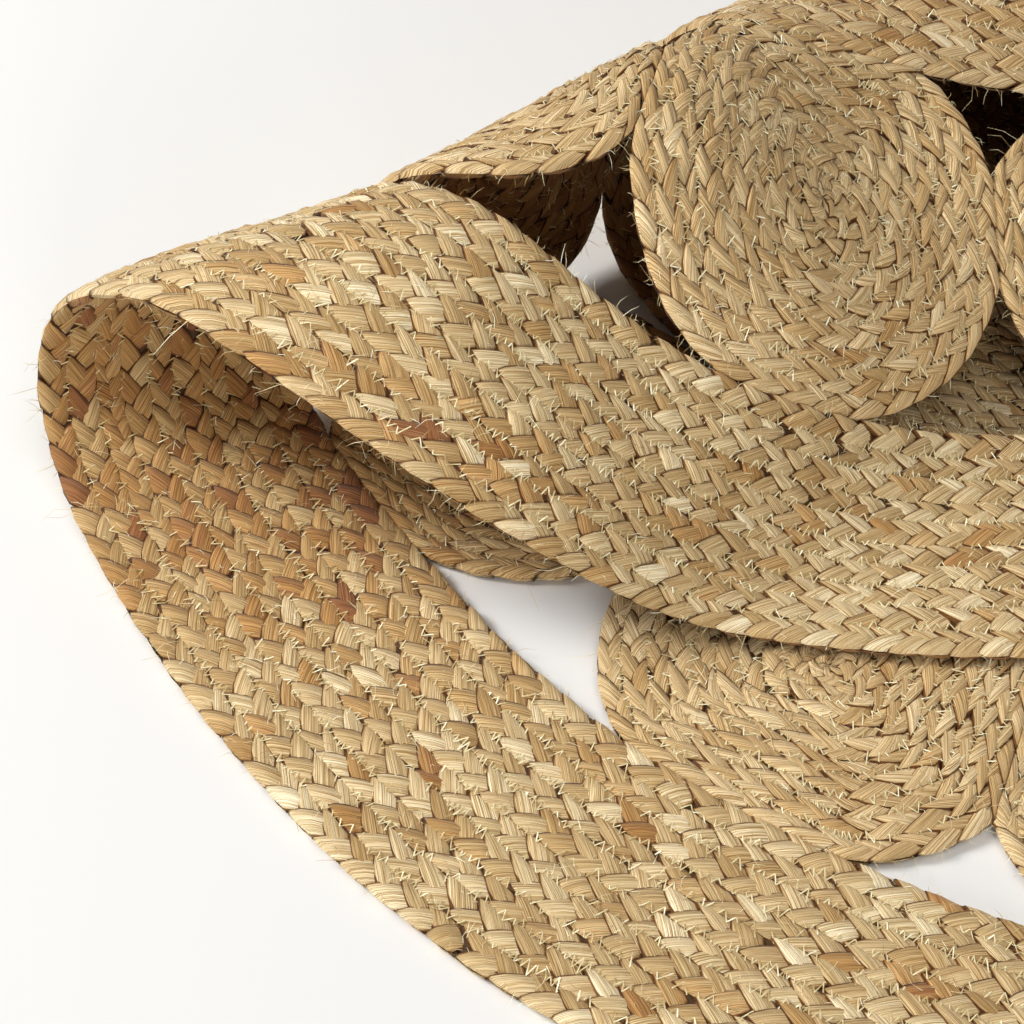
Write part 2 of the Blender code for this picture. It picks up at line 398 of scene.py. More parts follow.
# %% All coils
def make_coils():
    """The border, the centre piece and the discs. Behind the outline of each come its
    rounds, the width of its plait, the length of a loop and where the plait starts."""
    coils = [
        Coil("outer_ring", "jute_border", (0.0, 0.0), border_inner, border_outer, 10, 0.0160,
             0.0200, math.radians(-35)),
        Coil("centre_disc", "jute_centre", (0.0, 0.0), None, centre_edge, 34, 0.0146,
             0.0205, math.radians(-60)),
    ]
    for number in range(1, DISC_COUNT + 1):
        x, y, _ = disc_place(number)
        reach = disc_reach(number)

        def edge(angle, reach=reach):
            return np.interp(angle % (2 * math.pi), DIRECTIONS, reach)

        coils.append(Coil(f"disc_{number:02d}", "jute_discs", (x, y), None, edge, 10, 0.0125,
                          0.0250, math.atan2(-y, -x)))
    return coils


coils = make_coils()
for coil in coils[:3]:
    print(coil.name, "plait", round(coil.length, 2), "m long")
print("plait in the whole rug", round(sum(coil.length for coil in coils), 1), "m")

# %% [markdown]
# ## Meshes from arrays
#
# More than twenty thousand loops of strand show on the rug, and twice as many stitches.
# Making each as an object would be far too slow, and a Geometry Nodes tree would have to
# repeat the fold in nodes. Numpy works out all the points of a kind at once, and one mesh
# takes them all, with numbers stored on its points for the finish to read.

# %% A mesh from arrays
def mesh_piece(name, points, faces, corner_uv, numbers, material):
    """An object from arrays: its points and faces, a UV for each corner of each face, and
    named numbers on the points."""
    mesh = bpy.data.meshes.new(name)
    mesh.from_pydata(points.tolist(), [], faces)
    for key, values in numbers.items():
        mesh.attributes.new(key, "FLOAT", "POINT").data.foreach_set("value", values)
    mesh.uv_layers.new(name="fibre").data.foreach_set("uv", corner_uv.ravel())
    mesh.polygons.foreach_set("use_smooth", [True] * len(faces))
    mesh.materials.append(material)
    mesh.update()
    piece = bpy.data.objects.new(name, mesh)
    bpy.context.scene.collection.objects.link(piece)
    return piece


def patch_quads(patches, along, across, turned):
    """Faces of many patches, each a grid of along x across points; turned ones face the
    other way."""
    first = np.arange(along - 1)[:, None] * across + np.arange(across - 1)
    quad = np.stack([first, first + 1, first + across + 1, first + across], axis=-1)
    quad = quad.reshape(-1, 4)
    every = np.arange(patches)[:, None, None] * (along * across) + quad
    return np.where(turned[:, None, None], every[..., ::-1], every).reshape(-1, 4)


print("a patch of 5 by 4 points has", len(patch_quads(1, 5, 4, np.array([False]))), "faces")

# %% [markdown]
# ## Helpers for node trees
#
# A material is a tree of nodes joined by wires. Written out in full, each node takes five
# lines, and the sense is lost between them. These few helpers make a node, set it and
# wire it in one call, so that a formula in a finish reads like a formula.

# %% Node helpers
def wire(tree, source, target):
    tree.links.new(source, target)


def add_node(tree, kind, **settings):
    node = tree.nodes.new(kind)
    for key, value in settings.items():
        setattr(node, key, value)
    return node


def fill(tree, socket, value):
    """Give a socket its value: another socket to read from, or a number or colour."""
    if isinstance(value, bpy.types.NodeSocket):
        wire(tree, value, socket)
    else:
        socket.default_value = value


def math_node(tree, operation, a, b=0.0):
    """A Math node whose inputs are numbers or sockets; gives its output socket."""
    node = add_node(tree, "ShaderNodeMath", operation=operation)
    fill(tree, node.inputs[0], a)
    fill(tree, node.inputs[1], b)
    return node.outputs[0]


def range_node(tree, value, low, high, to_low, to_high):
    """Turns the values from low to high smoothly into those from to_low to to_high."""
    node = add_node(tree, "ShaderNodeMapRange", interpolation_type="SMOOTHSTEP")
    fill(tree, node.inputs["Value"], value)
    for key, number in (("From Min", low), ("From Max", high), ("To Min", to_low), ("To Max", to_high)):
        fill(tree, node.inputs[key], number)
    return node.outputs["Result"]


def mix_colour(tree, share, first, second, blend="MIX"):
    node = add_node(tree, "ShaderNodeMix", data_type="RGBA", blend_type=blend)
    for index, value in ((0, share), (6, first), (7, second)):
        fill(tree, node.inputs[index], value)
    return node.outputs[2]


def group_sockets(tree, inputs, outputs):
    """Names and kinds of a node group's sockets; gives its two end nodes."""
    for name, kind, value in inputs:
        tree.interface.new_socket(name, in_out="INPUT", socket_type=kind).default_value = value
    for name, kind in outputs:
        tree.interface.new_socket(name, in_out="OUTPUT", socket_type=kind)
    return tree.nodes.new("NodeGroupInput"), tree.nodes.new("NodeGroupOutput")


print("node helpers ready; Blender", bpy.app.version_string)

# %% [markdown]
# ## Finish: raw jute
#
# Jute is a long bast fibre with a faint silky shine. A strand is a flat bundle of some
# hundreds of fibres, so up close it shows fine lines along its length, and from afar it
# shows patches of straw, gold and rust, because the stalks are dyed by the water they
# were soaked in. Both come from one node group: it stretches noise along the strand for
# the lines, and mixes the colours by a number stored on each strand. The gaps between
# strands are darker: painted shade where one loop dives under the next, and the dust
# that gathers there.

# %% Node group: jute fibres
def jute_fibres():
    """Colour, roughness and height of a bundle of jute fibres. Along and Across say where
    a point is along and across the fibres; Edge is 1 where the strand dives into a gap,
    and there the colour is darkened as painted shade."""
    tree = bpy.data.node_groups.new("Jute fibres", "ShaderNodeTree")
    given, made = group_sockets(tree, [
        ("Along", "NodeSocketFloat", 0.0),
        ("Across", "NodeSocketFloat", 0.5),
        ("Edge", "NodeSocketFloat", 0.0),
        ("Tone", "NodeSocketFloat", 0.3),
        ("Seed", "NodeSocketFloat", 0.0),
        ("Fibres across", "NodeSocketFloat", 11.0),
        ("Pale", "NodeSocketColor", (0.72, 0.57, 0.35, 1)),
        ("Straw", "NodeSocketColor", (0.60, 0.43, 0.22, 1)),
        ("Golden", "NodeSocketColor", (0.52, 0.30, 0.11, 1)),
        ("Rust", "NodeSocketColor", (0.30, 0.13, 0.05, 1)),
        ("Painted gap shade", "NodeSocketFloat", 0.6),
    ], [("Colour", "NodeSocketColor"), ("Roughness", "NodeSocketFloat"), ("Height", "NodeSocketFloat")])

    across = math_node(tree, "MULTIPLY", given.outputs["Across"], given.outputs["Fibres across"])
    seed = math_node(tree, "MULTIPLY", given.outputs["Seed"], 61.0)

    def streaks(along_scale, across_scale, detail):
        place = add_node(tree, "ShaderNodeCombineXYZ")
        wire(tree, math_node(tree, "MULTIPLY", given.outputs["Along"], along_scale), place.inputs[0])
        wire(tree, math_node(tree, "MULTIPLY", across, across_scale), place.inputs[1])
        wire(tree, seed, place.inputs[2])
        noise = add_node(tree, "ShaderNodeTexNoise", noise_dimensions="3D")
        noise.inputs["Scale"].default_value = 1.0
        noise.inputs["Detail"].default_value = detail
        wire(tree, place.outputs[0], noise.inputs["Vector"])
        return noise.outputs["Fac"]

    fine = streaks(0.35, 1.0, 3.0)
    broad = streaks(0.30, 0.22, 1.0)
    tone = math_node(tree, "ADD", given.outputs["Tone"],
                     math_node(tree, "MULTIPLY", math_node(tree, "SUBTRACT", broad, 0.5), 1.1))
    colour = mix_colour(tree, range_node(tree, tone, 0.0, 0.45, 0.0, 1.0),
                        given.outputs["Pale"], given.outputs["Straw"])
    colour = mix_colour(tree, range_node(tree, tone, 0.45, 0.78, 0.0, 1.0), colour, given.outputs["Golden"])
    colour = mix_colour(tree, range_node(tree, tone, 0.78, 1.1, 0.0, 1.0), colour, given.outputs["Rust"])
    light = math_node(tree, "MULTIPLY", range_node(tree, fine, 0.35, 0.60, 0.40, 1.32),
                      range_node(tree, broad, 0.3, 0.7, 0.80, 1.16))
    strand_light = math_node(tree, "ADD", math_node(tree, "MULTIPLY", given.outputs["Seed"], 0.46), 0.82)
    light = math_node(tree, "MULTIPLY", light, strand_light)
    # Painted shade: the colour darkens where Edge nears 1, where a strand dives under its neighbours.
    edge = range_node(tree, math_node(tree, "ADD", given.outputs["Edge"],
                                      math_node(tree, "MULTIPLY", broad, 0.16)), 0.88, 1.05, 0.0, 1.0)
    gap_shade = math_node(tree, "SUBTRACT", 1.0, math_node(tree, "MULTIPLY", edge, given.outputs["Painted gap shade"]))
    # Darker parts, fibre lines and painted shade alike, turn browner and lighter parts paler: green and blue
    # change more than red.
    shade = math_node(tree, "MULTIPLY", light, gap_shade)
    tint = add_node(tree, "ShaderNodeCombineColor")
    for socket, power in zip(tint.inputs, (0.9, 1.25, 1.9)):
        wire(tree, math_node(tree, "POWER", shade, power), socket)
    wire(tree, mix_colour(tree, 1.0, colour, tint.outputs[0], "MULTIPLY"), made.inputs["Colour"])
    wire(tree, range_node(tree, fine, 0.3, 0.7, 0.72, 0.52), made.inputs["Roughness"])
    height = math_node(tree, "ADD", fine, math_node(tree, "MULTIPLY", broad, 1.2))
    wire(tree, height, made.inputs["Height"])
    return tree


JUTE_FIBRES = jute_fibres()
print("node group", JUTE_FIBRES.name, "with", len(JUTE_FIBRES.nodes), "nodes")

# %% [markdown]
# ## Materials
#
# Each material places the group with its own colours. Shine and sheen are the same all
# over, so they stand as plain numbers on the shader. The strands read their tone and
# their seed from the mesh; the thread and the stray fibres are thinner bundles of the
# same stuff, so they use the same group with fewer fibres across.

# %% Jute materials
def jute_material(name, colours, fibres_across, painted_gap_shade, bump, sheen):
    """colours: pale, straw, golden and rust, as red, green and blue."""
    material = bpy.data.materials.new(name)
    material.use_nodes = True
    tree = material.node_tree
    shader = tree.nodes["Principled BSDF"]
    group = add_node(tree, "ShaderNodeGroup", node_tree=JUTE_FIBRES)
    for key, colour in zip(("Pale", "Straw", "Golden", "Rust"), colours):
        group.inputs[key].default_value = (*colour, 1.0)
    group.inputs["Fibres across"].default_value = fibres_across
    # How dark the painted shade in the gaps between strands is.
    group.inputs["Painted gap shade"].default_value = painted_gap_shade
    for key, socket in (("tone", "Tone"), ("seed", "Seed"), ("edge", "Edge")):
        number = add_node(tree, "ShaderNodeAttribute", attribute_name=key)
        wire(tree, number.outputs["Fac"], group.inputs[socket])
    place = add_node(tree, "ShaderNodeUVMap", uv_map="fibre")
    split = add_node(tree, "ShaderNodeSeparateXYZ")
    wire(tree, place.outputs[0], split.inputs[0])
    wire(tree, split.outputs[0], group.inputs["Along"])
    wire(tree, split.outputs[1], group.inputs["Across"])
    bumps = add_node(tree, "ShaderNodeBump")
    bumps.inputs["Strength"].default_value = bump
    bumps.inputs["Distance"].default_value = 0.0006
    wire(tree, group.outputs["Height"], bumps.inputs["Height"])
    wire(tree, group.outputs["Colour"], shader.inputs["Base Color"])
    wire(tree, group.outputs["Roughness"], shader.inputs["Roughness"])
    wire(tree, bumps.outputs["Normal"], shader.inputs["Normal"])
    shader.inputs["Specular IOR Level"].default_value = 0.30
    shader.inputs["Sheen Weight"].default_value = sheen
    shader.inputs["Sheen Roughness"].default_value = 0.45
    return material


BORDER_COLOURS = ((0.818, 0.624, 0.335), (0.638, 0.427, 0.185), (0.56, 0.3, 0.093), (0.347, 0.139, 0.046))
DISC_COLOURS = ((0.84, 0.629, 0.336), (0.66, 0.436, 0.186), (0.564, 0.314, 0.104), (0.36, 0.157, 0.046))
CENTRE_COLOURS = ((0.724, 0.539, 0.288), (0.57, 0.366, 0.149), (0.494, 0.27, 0.089), (0.319, 0.13, 0.039))
THREAD_COLOURS = ((0.834, 0.714, 0.413), (0.776, 0.64, 0.329), (0.64, 0.483, 0.201), (0.436, 0.294, 0.106))
# Nearly black-brown: painted shade for the deep gaps between strands, where the cloth shows.
GAP_SHADE_COLOURS = ((0.12, 0.07, 0.03), (0.095, 0.05, 0.02), (0.08, 0.035, 0.013), (0.05, 0.02, 0.007))

strand_materials = {
    "jute_border": jute_material("jute_border_strands", BORDER_COLOURS, 42.0, 0.86, 1.0, 0.10),
    "jute_discs": jute_material("jute_disc_strands", DISC_COLOURS, 36.0, 0.86, 1.0, 0.10),
    "jute_centre": jute_material("jute_centre_strands", CENTRE_COLOURS, 39.0, 0.86, 1.0, 0.10),
}
gap_shade_material = jute_material("jute_painted_gap_shade", GAP_SHADE_COLOURS, 30.0, 0.0, 0.8, 0.0)
thread_material = jute_material("seam_thread", THREAD_COLOURS, 3.0, 0.25, 0.3, 0.15)
fibre_material = jute_material("stray_fibres", THREAD_COLOURS, 1.0, 0.0, 0.1, 0.25)
print("materials", [m.name for m in bpy.data.materials if m.name.startswith(("jute", "seam", "stray"))])

# %% [markdown]
# ## The cloth under the strands
#
# Sewn rounds of plait behave as one piece of cloth. Each piece of the rug gets one thin
# closed sheet that follows the plait's own turns; it lies a little inside the strands
# and shows in the gaps between them, coloured nearly black-brown as painted shade. It
# is drawn flat and folded point by point, so its area is that of the flat piece.

# %% Ground sheets
GROUND = 0.0016           # from the middle of the plait to the sheet's face
UNDERSIDE = 0.0042        # the same below, where the rug lies on the floor
THICKENS_OVER = 0.03      # run before the lift line over which the sheet grows that thick
GROUND_STEP = 0.022       # length of one face along the outermost round
RIM_INSET = 0.22          # in plait widths; the strands alone make the rim
GROUND_TONE = 0.3


def ground_sheet(coil):
    """A thin closed sheet of the coil's outline, as strips that follow the plait."""
    around = max(24, round(2 * math.pi * float(np.mean(coil.outside(DIRECTIONS))) / GROUND_STEP))
    turns = np.linspace(0.0, coil.rounds, coil.rounds * around + 1)
    low, high = coil.edges(turns)
    high = np.where(turns >= coil.rounds - 1, np.maximum(high - RIM_INSET, low), high)
    if coil.inside is not None:
        low = np.where(turns <= 1, np.minimum(low + RIM_INSET, high), low)
    flat = bmesh.new()
    uv = flat.loops.layers.uv.new("fibre")
    # One strip of faces follows the plait from its start to its end.
    inner = [flat.verts.new((x, y, 0.0)) for x, y in zip(*coil.flat(turns, low))]
    outer = [flat.verts.new((x, y, 0.0)) for x, y in zip(*coil.flat(turns, high))]
    along = coil.length_at(turns) / coil.plait
    for i in range(len(turns) - 1):
        strip = flat.faces.new((inner[i], outer[i], outer[i + 1], inner[i + 1]))
        for loop, place in zip(strip.loops, ((i, 0), (i, 1), (i + 1, 1), (i + 1, 0))):
            loop[uv].uv = (along[place[0]], place[1])
    # Neighbouring rounds share their points, and the thin ends close to nothing.
    bmesh.ops.remove_doubles(flat, verts=list(flat.verts), dist=0.0001)
    bmesh.ops.dissolve_degenerate(flat, edges=list(flat.edges), dist=0.0001)
    flat.verts.ensure_lookup_table()
    flat.verts.index_update()
    x = np.array([v.co.x for v in flat.verts])
    y = np.array([v.co.y for v in flat.verts])
    lying = np.clip((LIFT_LINE - y) / THICKENS_OVER, 0.0, 1.0)
    below = GROUND + (UNDERSIDE - GROUND) * lying
    points = np.concatenate([folded(x, y, GROUND), folded(x, y, -below)])
    # The face and the underside are the same strip twice, joined by walls along the rim.
    faces, places = [], []
    for face in flat.faces:
        corners = [v.index for v in face.verts]
        spots = [loop[uv].uv[:] for loop in face.loops]
        if face.normal.z < 0:
            corners, spots = corners[::-1], spots[::-1]
        faces += [corners, [c + len(x) for c in reversed(corners)]]
        places += spots + spots[::-1]
    for edge in flat.edges:
        if edge.is_boundary:
            loop = edge.link_loops[0]
            a, b = loop.vert.index, loop.link_loop_next.vert.index
            a, b = (b, a) if loop.face.normal.z < 0 else (a, b)
            faces.append([a, a + len(x), b + len(x), b])
            places += [loop[uv].uv[:]] * 4
    flat.free()
    return mesh_piece(coil.name + "_cloth", points, faces, np.array(places, float),
                      {"tone": np.full(len(points), GROUND_TONE)}, gap_shade_material)


print("cloth", round((GROUND + UNDERSIDE) * 1000, 1), "mm thick where it lies on the floor and",
      round(2 * GROUND * 1000, 1), "mm in the fold")

# %% [markdown]
# ## The strands
#
# In a flat plait of three, each strand swings from edge to edge, over one strand and
# under the next. From above only the parts that lie on top show: two rows of leaf-shaped
# loops that meet in the middle like an ear of wheat. Each loop is made as its own small
# curved patch, which starts under the other row, crosses over, turns along the edge and
# goes round it to the other side. Single patches let every loop have its own width,
# lift and tone, as loose jute has, and only those that can be seen are made.

# %% The shape of one loop
# One loop, from the plait's edge to its hidden end under the other row. Each line gives
# its distance from the plait's middle in half widths; how far along the plait its
# leading edge, ridge and trailing edge are, in plait widths; and their heights in mm.
LEAF_PITCH = 1.25         # plait widths from one loop to the next for which this is drawn
LEAF = [
    (1.13, 0.02, 0.46, 1.36, 1.5, 2.9, 1.2),
    (0.87, 0.06, 0.58, 1.52, 3.4, 4.7, 1.7),
    (0.40, 0.30, 0.92, 1.78, 4.2, 5.3, 1.9),
    (-0.12, 0.64, 1.14, 1.72, 4.1, 4.7, 1.8),
    (-0.66, 1.08, 1.26, 1.48, 2.8, 2.6, 1.4),
]
# The same outer end on the rim, where the strand turns round the edge of the piece and
# meets its own other side halfway down.
RIM = [
    (1.06, -0.04, 0.46, 1.24, 0.0, 0.0, 0.0),
    (0.95, 0.02, 0.54, 1.36, 2.6, 3.6, 0.8),
]
RIM_BULGE = (-0.07, -0.04, 0.05, -0.05)
SIDE_WALL = (0.03, 2.8)   # foot of the leading edge: back in plait widths, down in mm
USUAL_TONE = 0.28
# How far the strands of a piece stray from the usual tone: the discs are the most even.
MIXED = {"jute_border": 1.0, "jute_centre": 0.8, "jute_discs": 0.55}
FRONT, BACK_SIDE = 1, -1


def leaf_grid(rows):
    """Place along, distance across, height, share of the width and edge of a loop's points."""
    leaf = np.array(rows)
    along = np.column_stack([leaf[:, 1] - SIDE_WALL[0], leaf[:, 1:4]])
    foot = np.where(leaf[:, 4] > 0, leaf[:, 4] - SIDE_WALL[1], 0.0)
    height = np.column_stack([foot, leaf[:, 4:7]]) / 1000
    across = np.repeat(leaf[:, :1], 4, axis=1)
    share = np.tile([0.0, 0.08, 0.5, 1.0], (len(rows), 1))
    # edge is 1 where a loop dives under its neighbours; the finish paints shade there.
    edge = np.tile([1.0, 1.0, 0.0, 1.0], (len(rows), 1))
    edge[-1] = 1.0
    if rows[0] == RIM[0]:
        across[0] += RIM_BULGE
    else:
        edge[0] = 0.95
    return along, across, height, share, edge


print("one loop has", leaf_grid(LEAF)[0].size, "points and stands",
      round(float(leaf_grid(LEAF)[2].max() * 1000), 1), "mm over the plait's middle")

# %% [markdown]
# ## Uneven hands
#
# A plaiter pulls now tighter and now looser, and joins in new jute every hand's width.
# So the places of the loops and their tones wander slowly along the plait. Random numbers
# for each loop on its own would flicker; here a new value is drawn only every few loops,
# and those between are blended.

# %% Where the loops lie, and their tones
def uneven_run(rng, count, spread, spacing):
    """A number that wanders by about spread, with a new value every so many places."""
    knots = rng.normal(0.0, spread, int(count / spacing) + 3)
    return np.interp(np.arange(count) / spacing, np.arange(len(knots)), knots)


def crossings(coil, rng):
    """Where the loops of one row begin along the plait."""
    count = int(coil.length / coil.pitch * 1.15) + 20
    wander = 1 + uneven_run(rng, count, 0.09, 9)
    places, here = [], 0.0
    for share in wander:
        places.append(here)
        here += coil.pitch * share * float(coil.tightness(coil.turns_at(here)))
    places = np.array(places)
    return places[places < coil.length - 2 * coil.pitch]


def strand_tones(rng, count):
    """Tone of one loop after another of the three strands: mostly straw, now and then
    golden for a hand's width, seldom rust."""
    tones = np.empty(count)
    for strand in range(3):
        loops = len(tones[strand::3])
        tone = 0.26 + uneven_run(rng, loops, 0.12, 3)
        tone += np.maximum(uneven_run(rng, loops, 1.0, 2) - 1.2, 0.0) * 0.45
        tones[strand::3] = tone
    return tones


print("the border has about", 2 * len(crossings(coils[0], np.random.default_rng(0))),
      "loops on each side")

# %% [markdown]
# ## Jute in the shade
#
# Inside the fold the strands get a browner tone, the more the deeper they lie. This is
# painted shade: the lights alone would only make that part darker, not as warm brown as
# the light that bounces between jute in the fold.

# %% Shade painted into the fold
SHADE_BEFORE = 0.12       # how far before the lift line the fold's shade begins
SHADE_RUN = 0.20          # the run over which it gets deep
FOLD_SHADE_TONE = 0.46     # browner tone painted where the fold shades the jute: painted shade
GOLDEN_BELOW = 0.04       # tone that the underside keeps more of than the bleached face
FOLD_SHADE_EVENS = 0.8        # how far strands in the fold are painted darker and more even, as shade


def fold_shade(x, y):
    """How much painted shade the fold gets, as a browner tone: it grows into the fold and is
    largest far from the loop's two open ends."""
    into_fold = np.clip((y - LIFT_LINE + SHADE_BEFORE) / SHADE_RUN, 0.0, 1.0)
    return into_fold * np.interp(np.abs(x), [0.55, 0.85], [1.4, 0.80])


print("jute in the middle of the loop is", round(FOLD_SHADE_TONE * float(fold_shade(0.0, 0.3)), 2),
      "browner in tone")

# %% [markdown]
# ## All loops of a coil
#
# First come the loops that can be seen, then the small differences between them, and at
# the end the route of the plait and the fold carry their points to where they lie. The
# fibres run slantwise over a loop, so the map for the finish is laid out straight and
# doesn't bend with it. A map that followed the loop's edges would draw rings like those
# of wood.

# %% Loops of strand on one side of a coil
THINNEST = 0.3            # in plait widths; where a plait's end is thinner no loop shows
HIDDEN_BY = 0.025         # how far inside the flap's edge nothing between the layers shows
BEFORE_LIFT = 0.03        # how far before the lift line the underside is first made
SLANT = 0.75              # of the fibres: along the plait for each step across it
PLAIN_START = 2.5         # turns at the start of a coil without brown strands
PROUD_HEIGHT = 0.0004     # how much higher and lower the rounds lie by turns
PROUD_WIDTH = 0.05        # how much wider and narrower the same rounds look
FLOOR_ROOM = 0.0043       # height that the underside may use where it lies on the floor
FIRST_RISE = 6.0          # of the fold, times the cube of the distance from the lift line


def strand_patches(coil, side, places, rng):
    """Points, faces, UVs, tones and seeds of the loops on one side of a coil. Both sides
    share their places, so a strand that turns round a rim goes on where it came from."""
    mixed = MIXED[coil.slot]
    tones = USUAL_TONE + mixed * (strand_tones(rng, len(places)) - USUAL_TONE)
    pitch = coil.pitch * coil.tightness(coil.turns_at(places))
    if side == BACK_SIDE:
        places = places + pitch
    start = np.concatenate([places, places + pitch / 2])
    pitch = np.concatenate([pitch, pitch])
    tone = np.concatenate([tones, np.roll(tones, -1)])
    row = np.repeat([1.0, -1.0], len(places))

    turns = coil.turns_at(start)
    low, high = coil.edges(turns)
    x, y = coil.flat(turns, (low + high) / 2)
    rim = (turns > coil.rounds - 1.0) & (row > 0)
    if coil.inside is not None:
        rim |= (turns < 1.0) & (row < 0)
    shown = high - low > THINNEST
    if side == FRONT:
        shown &= ~under_flap(x, y, HIDDEN_BY)
        # Painted shade: strands in the fold get a browner tone, the more the deeper they lie.
        fold_shade_share = fold_shade(x, y)
        tone = tone + FOLD_SHADE_TONE * fold_shade_share
    else:
        shown &= (y > LIFT_LINE - BEFORE_LIFT) | rim
        tone = tone + GOLDEN_BELOW
    if coil.inside is None:
        tone = np.where(turns < PLAIN_START, np.minimum(tone, 0.35), tone)
    start, tone, row, rim = start[shown], tone[shown], row[shown], rim[shown]
    turns, pitch = turns[shown], pitch[shown, None, None]
    loops = len(start)
    seed = 0.5 + mixed * (rng.random(loops) - 0.5)
    # Painted shade: in the fold the strands' light and dark loops even out to a darker brightness.
    if side == FRONT:
        seed *= 1 - np.minimum(FOLD_SHADE_EVENS * fold_shade_share[shown], 1.0)

    def vary(spread):
        return rng.normal(0.0, spread, loops)[:, None, None]

    inner_loops, rim_loops = leaf_grid(LEAF), leaf_grid(RIM + LEAF[2:])
    on_rim = rim[:, None, None]
    along, across, height, share, edge = [np.where(on_rim, b, a) for a, b in zip(inner_loops, rim_loops)]
    # The map for the fibres: its first number runs along them and its second across.
    from_edge = 1.1 - inner_loops[1]
    straight = inner_loops[0] - SLANT * from_edge
    uv = np.stack([np.broadcast_to(from_edge, along.shape), straight + from_edge * vary(0.08)], axis=-1)
    # No two loops are alike: they differ in length, place and slant, in reach and height.
    along = along * (1 + vary(0.07)) + vary(0.05) + (1 - across) * vary(0.10)
    across = across * (1 + vary(0.04)) + np.where(on_rim, 0.0, 1.0) * vary(0.03)
    height = height * (1 + vary(0.07)) + (share - 0.5) * vary(0.0005)
    # Every second round is sewn on a little higher than its neighbours, and looks wider.
    proud = np.where(rim, 0.0, np.cos(math.pi * np.floor(turns)))[:, None, None]
    height += PROUD_HEIGHT * proud
    across *= 1 + PROUD_WIDTH * proud

    # On the front the loops run forward from the edge to the middle, on the back against it.
    turns = coil.turns_at(start[:, None, None] + side * pitch / LEAF_PITCH * along)
    low, high = coil.edges(turns)
    spot = (low + high) / 2 + row[:, None, None] * across / 2 * (high - low)
    x, y = coil.flat(turns, spot)
    if side == BACK_SIDE:
        room = FLOOR_ROOM + FIRST_RISE * np.maximum(y - LIFT_LINE, 0.0) ** 3
        height = np.minimum(height, room)
    points = folded(x, y, side * height)
    return {
        "points": points.reshape(-1, 3),
        "quads": patch_quads(loops, len(LEAF), 4, row > 0),
        "uv": uv.reshape(-1, 2),
        "tone": np.repeat(tone + mixed * rng.normal(0.0, 0.17, loops), inner_loops[0].size),
        "seed": np.repeat(seed, inner_loops[0].size),
        "edge": edge.ravel(),
    }


sample_rng = np.random.default_rng(0)
sample = strand_patches(plain_disc, FRONT, crossings(plain_disc, sample_rng), sample_rng)
print("a plain disc shows", len(sample["points"]) // leaf_grid(LEAF)[0].size, "loops on its face")

# %% [markdown]
# ## The thread
#
# The sewing machine swings its needle from one round to the next, so every seam shows a
# zigzag of thin pale thread. Each stitch is one flat ribbon, less than a millimetre
# wide, that bridges the groove between two rounds. A round tube would cost eight times
# the faces and look the same from any distance at which the rug is seen.

# %% Zigzag stitches
STITCH = 0.0058           # from one stitch to the next but one, along the seam
STITCH_WANDERS = 0.28     # share by which that length wanders, anew every dozen stitches
FIRST_STITCH = 0.6        # turns from the start of a plait, where the needle first fits
STITCH_REACH = 0.0033     # to each side of the seam
THREAD = 0.00075          # width of the thread
THREAD_HEIGHT = 0.0043    # over the middle of the plait
NEEDLE_SLIPS = 0.0005     # how far a corner of the zigzag strays along the seam
REACH_VARIES = 0.24       # share by which a corner lies nearer to the seam or further off
THREAD_LIFTS = 0.0004     # how far a corner lies higher or deeper
FOLD_HIDES = 0.42         # share of the stitches that can't be seen in the fold
FOLD_SHADE_ON_THREAD = 0.5         # browner tone painted on the thread there, as shade
ON_TOP = {FRONT: 0.82, BACK_SIDE: 0.80}  # share of the stitches that lie on top of the jute


